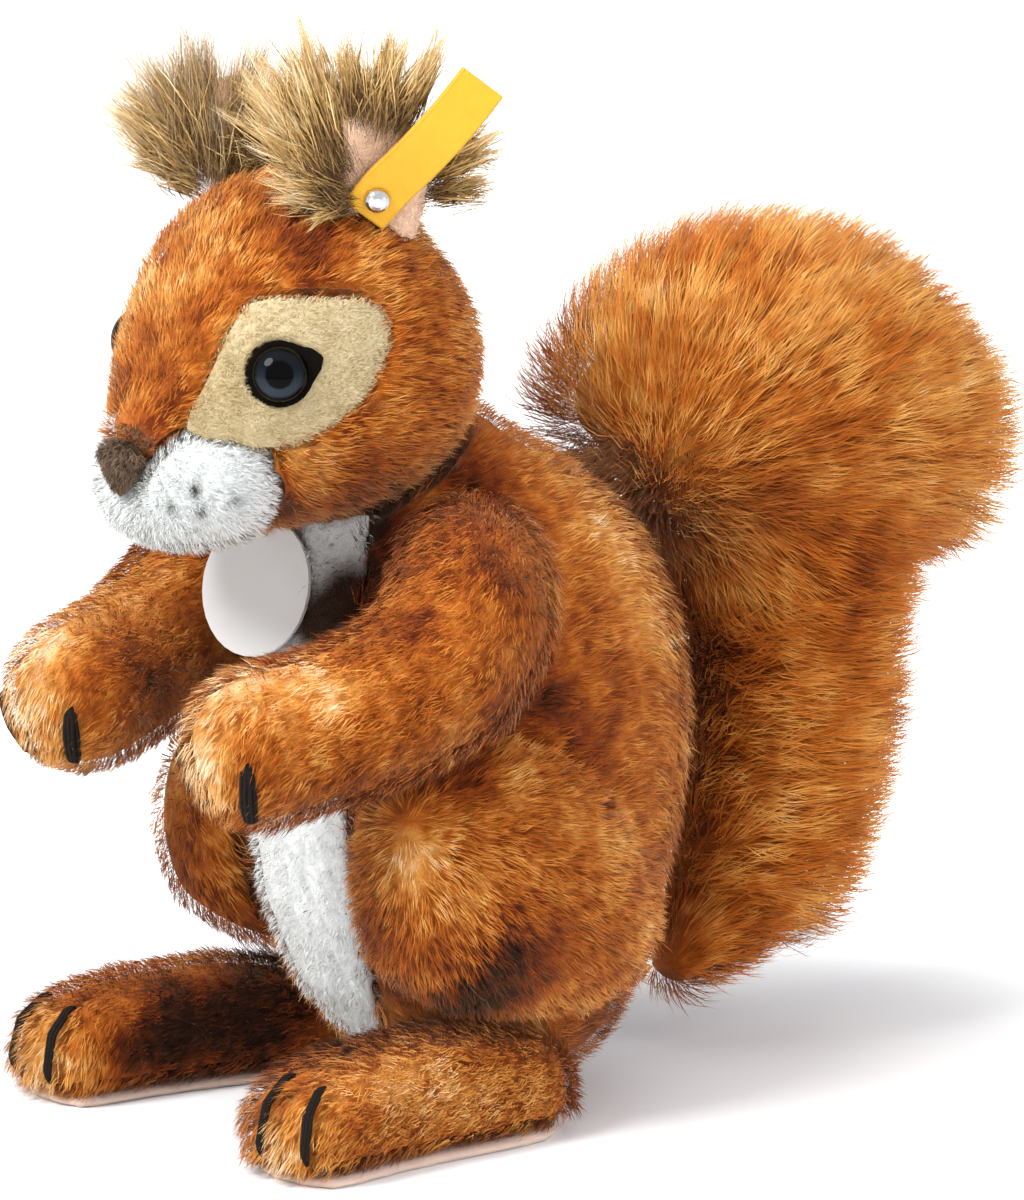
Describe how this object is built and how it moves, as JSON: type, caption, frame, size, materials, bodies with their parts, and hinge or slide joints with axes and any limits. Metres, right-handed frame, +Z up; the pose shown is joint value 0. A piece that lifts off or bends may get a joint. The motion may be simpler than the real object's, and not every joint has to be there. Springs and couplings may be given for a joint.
{
  "type": "sitting plush squirrel",
  "caption": "Stuffed plush squirrel sitting up with raised paws, white muzzle and belly, tufted ears and a long tail that rises and curls back, with a plain disc and an ear ribbon.",
  "frame": {"origin": "bottom centre of the bounding box, on the surface that the squirrel sits on", "axes": "the squirrel looks towards -Y, its left side is +X and +Z is up"},
  "size_m": [0.118, 0.216, 0.2169],
  "materials": {
    "rust_plush": "mottled golden brown pile",
    "tail_plush": "long golden brown pile",
    "white_plush": "white pile",
    "beige_plush": "short beige pile",
    "ear_mohair": "long straight brown hair",
    "ear_velvet": "peach velvet",
    "nose_plush": "short dark brown pile",
    "eye_felt": "black felt",
    "eye_glaze": "gloss, dark blue-grey iris round a black pupil",
    "washer_plastic": "moulded white",
    "claw_thread": "dark brown sewing thread",
    "sole_felt": "pale pink felt",
    "button_nickel": "polished nickel",
    "ribbon_yellow": "yellow woven ribbon",
    "tag_card": "coated pale grey-white card",
    "tack_thread": "off-white thread"
  },
  "bodies": {
    "root": {"torso": "rust_plush", "belly_panel": "white_plush", "head": "rust_plush", "muzzle": "white_plush", "nose": "nose_plush", "chest_tag": "tag_card", "tag_tack": "tack_thread", "ear_button": "button_nickel", "ear_ribbon": "ribbon_yellow", "tail": "tail_plush", "eye_patch_left": "beige_plush", "eye_rim_left": "eye_felt", "eye_left": "eye_glaze", "eye_washer_left": "washer_plastic", "ear_left": "ear_velvet", "ear_tuft_left": "ear_mohair", "arm_left": "rust_plush", "haunch_left": "rust_plush", "foot_left": "rust_plush", "sole_left": "sole_felt", "paw_claw_left_1": "claw_thread", "foot_claw_left_1": "claw_thread", "paw_claw_left_2": "claw_thread", "foot_claw_left_2": "claw_thread", "eye_patch_right": "beige_plush", "eye_rim_right": "eye_felt", "eye_right": "eye_glaze", "eye_washer_right": "washer_plastic", "ear_right": "ear_velvet", "ear_tuft_right": "ear_mohair", "arm_right": "rust_plush", "haunch_right": "rust_plush", "foot_right": "rust_plush", "sole_right": "sole_felt", "paw_claw_right_1": "claw_thread", "foot_claw_right_1": "claw_thread", "paw_claw_right_2": "claw_thread", "foot_claw_right_2": "claw_thread"}
  },
  "joints": []
}
